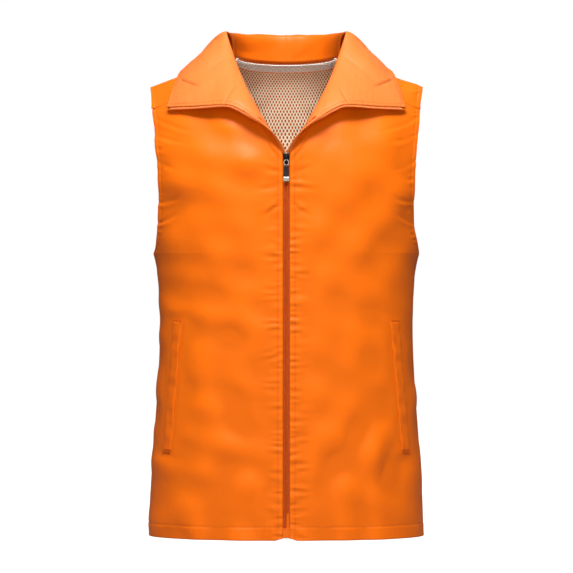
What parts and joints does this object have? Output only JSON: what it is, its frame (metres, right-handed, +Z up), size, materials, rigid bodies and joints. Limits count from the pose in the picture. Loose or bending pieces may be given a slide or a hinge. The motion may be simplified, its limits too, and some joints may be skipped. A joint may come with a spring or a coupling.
{
  "type": "zip vest",
  "caption": "Sleeveless zip-front work vest in blaze orange cloth with a fold-down collar, open lapels, mesh lining and slanted welt pockets.",
  "frame": {"origin": "centre of the vest's bounding box at the hem, on the surface the hem stands on", "axes": "+Z up from the hem to the collar, -Y out of the front, +X to the wearer's left"},
  "size_m": [0.389, 0.263, 0.7154],
  "materials": {
    "shell_cloth": "plain-woven polyester, light sheen",
    "facing_cloth": "plain-woven polyester, light sheen",
    "lining_mesh": "open warp-knit mesh, off-white",
    "zip_tape": "woven tape",
    "zip_coil": "dyed nylon coil",
    "black_metal": "black lacquer, satin",
    "bright_metal": "bright plated",
    "black_grip": "satin moulded",
    "tack_thread": "satin-stitched thread"
  },
  "bodies": {
    "vest": {"front_panel_left": "shell_cloth", "front_panel_right": "shell_cloth", "front_yoke_left": "shell_cloth", "front_yoke_right": "shell_cloth", "back_panel": "shell_cloth", "top_collar_back": "shell_cloth", "under_collar_back": "shell_cloth", "collar_stand_left": "shell_cloth", "collar_stand_right": "shell_cloth", "pocket_welt_left": "shell_cloth", "pocket_welt_right": "shell_cloth", "front_facing_left": "facing_cloth", "front_facing_right": "facing_cloth", "armhole_facing_front_left": "facing_cloth", "armhole_facing_front_right": "facing_cloth", "armhole_facing_back_left": "facing_cloth", "armhole_facing_back_right": "facing_cloth", "mesh_lining_front_left": "lining_mesh", "mesh_lining_front_right": "lining_mesh", "mesh_lining_back": "lining_mesh", "back_neck_tape": "lining_mesh", "pocket_bag_left": "lining_mesh", "pocket_bag_right": "lining_mesh", "zip_tape_left": "zip_tape", "zip_tape_right": "zip_tape", "zip_coil_left": "zip_coil", "zip_coil_right": "zip_coil", "insertion_pin": "black_metal", "retainer_box": "black_metal", "pocket_tack_top_left": "tack_thread", "pocket_tack_top_right": "tack_thread", "pocket_tack_bottom_left": "tack_thread", "pocket_tack_bottom_right": "tack_thread"},
    "slider": {"zip_slider_body": "black_metal", "zip_slider_bridge": "black_metal"},
    "pull": {"pull_eye": "bright_metal", "pull_grip": "black_grip", "pull_tip": "bright_metal"},
    "wing_left": {"lapel_facing_left": "facing_cloth", "lapel_shell_left": "shell_cloth", "top_collar_left": "facing_cloth", "under_collar_left": "shell_cloth", "zip_tape_wing_left": "zip_tape", "zip_coil_wing_left": "zip_coil", "zip_stop_left": "black_metal"},
    "wing_right": {"lapel_facing_right": "facing_cloth", "lapel_shell_right": "shell_cloth", "top_collar_right": "facing_cloth", "under_collar_right": "shell_cloth", "zip_tape_wing_right": "zip_tape", "zip_coil_wing_right": "zip_coil", "zip_stop_right": "black_metal"}
  },
  "joints": [
    {"name": "slider_travel", "type": "slide", "parent": "vest", "child": "slider", "axis": [0, 0, -1], "range_m": [0, 0.495]},
    {"name": "pull_swing", "type": "hinge", "parent": "slider", "child": "pull", "pos_m": [0, -0.12694, 0.52716], "axis": [-1, 0, 0], "range_deg": [0, 150]},
    {"name": "wing_left_lift", "type": "hinge", "parent": "vest", "child": "wing_left", "pos_m": [0.006, -0.12348, 0.54], "axis": [-0.3532, -0.5332, -0.7687], "range_deg": [0, 60]},
    {"name": "wing_right_lift", "type": "hinge", "parent": "vest", "child": "wing_right", "pos_m": [-0.006, -0.12348, 0.54], "axis": [-0.3532, 0.5332, 0.7687], "range_deg": [0, 60]}
  ]
}
